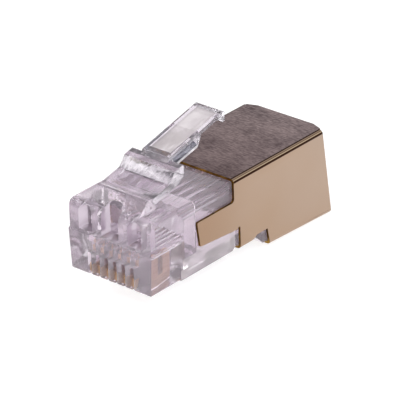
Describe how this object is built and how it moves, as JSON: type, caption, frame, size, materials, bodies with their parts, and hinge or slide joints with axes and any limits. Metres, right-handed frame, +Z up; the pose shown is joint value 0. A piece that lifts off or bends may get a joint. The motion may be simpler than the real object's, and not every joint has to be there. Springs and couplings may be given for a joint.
{
  "type": "shielded modular plug",
  "caption": "Clear moulded modular plug with a sprung release latch, gold blade contacts in open slots and a folded gold-tone metal shield round the cable end",
  "frame": {"origin": "bottom centre of the whole plug's box, on the plane through the lowest edge of the shield's skirt", "axes": "+X across the plug, +Y from the nose to the cable end, +Z up through the latch"},
  "size_m": [0.01, 0.0258, 0.0142],
  "materials": {
    "clear_plastic": "clear polycarbonate, polished",
    "shield_metal": "gold-tone plated sheet, brushed on the top",
    "contact_metal": "gold plated blades"
  },
  "bodies": {
    "plug": {"plug_housing": "clear_plastic", "shield_shell": "shield_metal", "contact_1": "contact_metal", "contact_2": "contact_metal", "contact_3": "contact_metal", "contact_4": "contact_metal", "contact_5": "contact_metal", "contact_6": "contact_metal"},
    "latch": {"latch_tab": "clear_plastic"}
  },
  "joints": [
    {"name": "latch_press", "type": "hinge", "parent": "plug", "child": "latch", "pos_m": [0, -0.00995, 0.01002], "axis": [-1, 0, 0], "range_deg": [0, 18], "stiffness_Nm_per_rad": 0.1}
  ]
}
